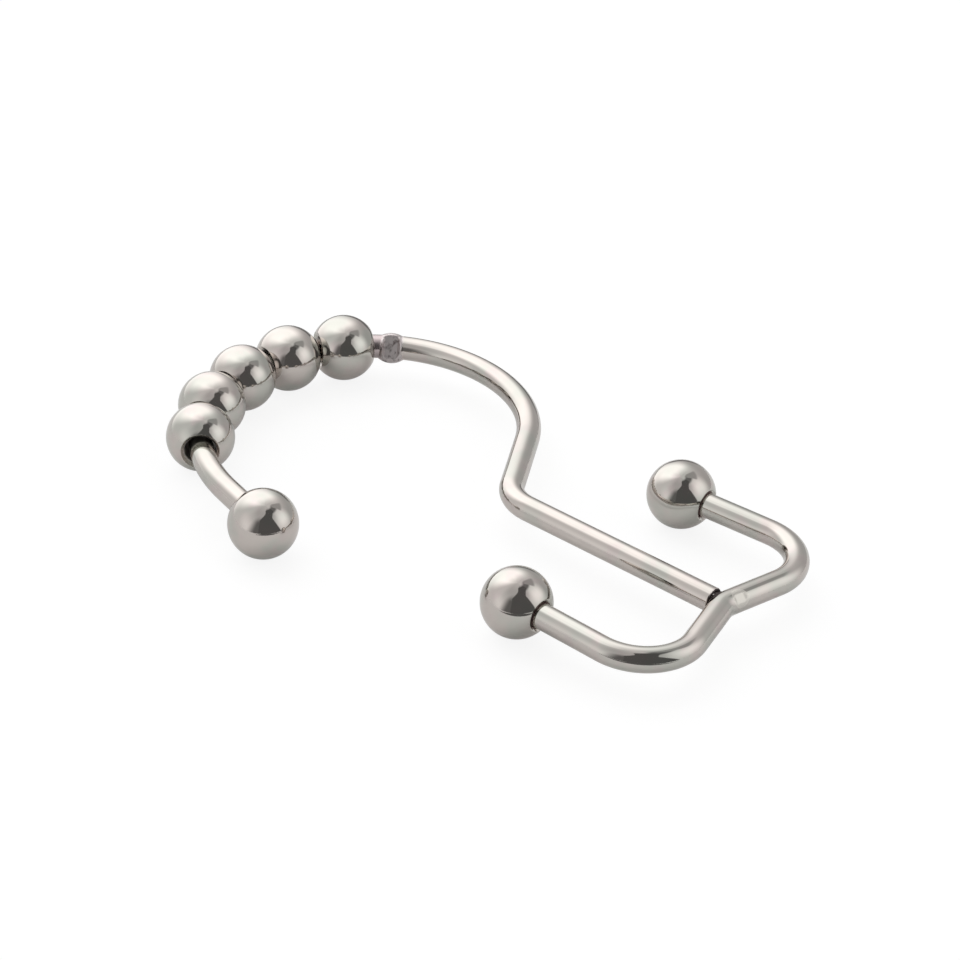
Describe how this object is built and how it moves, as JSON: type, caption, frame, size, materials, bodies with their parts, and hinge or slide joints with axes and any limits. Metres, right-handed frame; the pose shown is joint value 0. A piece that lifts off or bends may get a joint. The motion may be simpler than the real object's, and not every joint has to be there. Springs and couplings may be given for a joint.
{
  "type": "shower curtain hook",
  "caption": "Double shower curtain hook of polished round wire: rolling balls ride on its rod arc, and ball-tipped hooks on both sides of the shank carry curtain and liner.",
  "frame": {"origin": "centre of the flat-lying hook's box, on the surface that it lies on", "axes": "+Z normal to the hook's plane, +Y along the shank towards the rod arc (up when it hangs), +X towards the right-hand hook"},
  "size_m": [0.0492, 0.0774, 0.008],
  "materials": {
    "polished_wire": "polished stainless wire, warm grey mirror",
    "polished_ball": "polished stainless ball, warm grey mirror"
  },
  "bodies": {
    "hanger": {"hanger_wire": "polished_wire", "double_hook_wire": "polished_wire", "tip_ball": "polished_ball", "left_hook_ball": "polished_ball", "right_hook_ball": "polished_ball"},
    "roller_1": {"roller_ball_1": "polished_ball"},
    "roller_2": {"roller_ball_2": "polished_ball"},
    "roller_3": {"roller_ball_3": "polished_ball"},
    "roller_4": {"roller_ball_4": "polished_ball"},
    "roller_5": {"roller_ball_5": "polished_ball"}
  },
  "joints": [
    {"name": "roller_train_travel", "type": "hinge", "parent": "hanger", "child": "roller_1", "pos_m": [0.00303, 0.0125, 0.004], "axis": [0, 0, 1], "range_deg": [-2, 32]},
    {"name": "roller_2_spin", "type": "hinge", "parent": "roller_1", "child": "roller_2", "pos_m": [0.00875, 0.03405, 0.004], "axis": [-0.9666, 0.2562, 0], "continuous": true},
    {"name": "roller_3_spin", "type": "hinge", "parent": "roller_1", "child": "roller_3", "pos_m": [0.00136, 0.03474, 0.004], "axis": [-0.9972, -0.0752, 0], "continuous": true},
    {"name": "roller_4_spin", "type": "hinge", "parent": "roller_1", "child": "roller_4", "pos_m": [-0.00585, 0.03295, 0.004], "axis": [-0.9173, -0.3982, 0], "continuous": true},
    {"name": "roller_5_spin", "type": "hinge", "parent": "roller_1", "child": "roller_5", "pos_m": [-0.01207, 0.02891, 0.004], "axis": [-0.7358, -0.6772, 0], "continuous": true}
  ]
}
